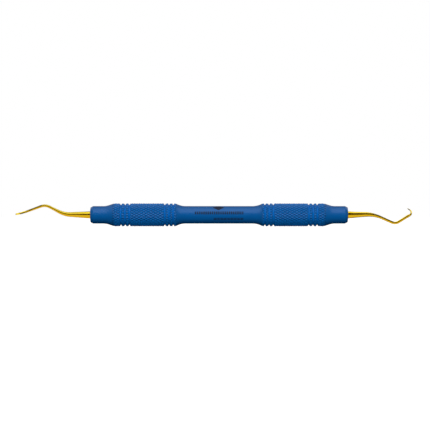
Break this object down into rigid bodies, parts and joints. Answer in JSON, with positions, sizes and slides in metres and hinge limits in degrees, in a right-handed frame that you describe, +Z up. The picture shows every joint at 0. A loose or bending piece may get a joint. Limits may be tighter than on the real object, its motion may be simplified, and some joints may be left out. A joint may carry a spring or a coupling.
{
  "type": "hand scaler",
  "caption": "Double-ended dental hand scaler: slim-waisted blue resin handle, knurled grips with ring grooves, gold-coated bent shanks ending in a rounded blade and a pointed hook.",
  "frame": {"origin": "middle of the handle, on the handle's axis", "axes": "+X along the handle towards the pointed hook, +Z up in the plane that the shanks bend in; the rounded blade at -X turns towards -Y"},
  "size_m": [0.1722, 0.01, 0.01],
  "materials": {
    "handle_resin": "satin moulded resin, mid blue through the body, diamond-knurled grips",
    "core_steel": "plain drawn and turned stainless steel",
    "gold_coated_steel": "polished stainless steel with a thin gold-coloured hard coating",
    "epoxy": "cured clear amber adhesive",
    "seal_silicone": "smooth black silicone"
  },
  "bodies": {
    "root": {"handle": "handle_resin", "core_tube": "core_steel", "left_socket": "core_steel", "right_socket": "core_steel", "left_working_end": "gold_coated_steel", "right_working_end": "gold_coated_steel", "left_tang_bond": "epoxy", "right_tang_bond": "epoxy", "left_seal_ring": "seal_silicone", "right_seal_ring": "seal_silicone"}
  },
  "joints": []
}
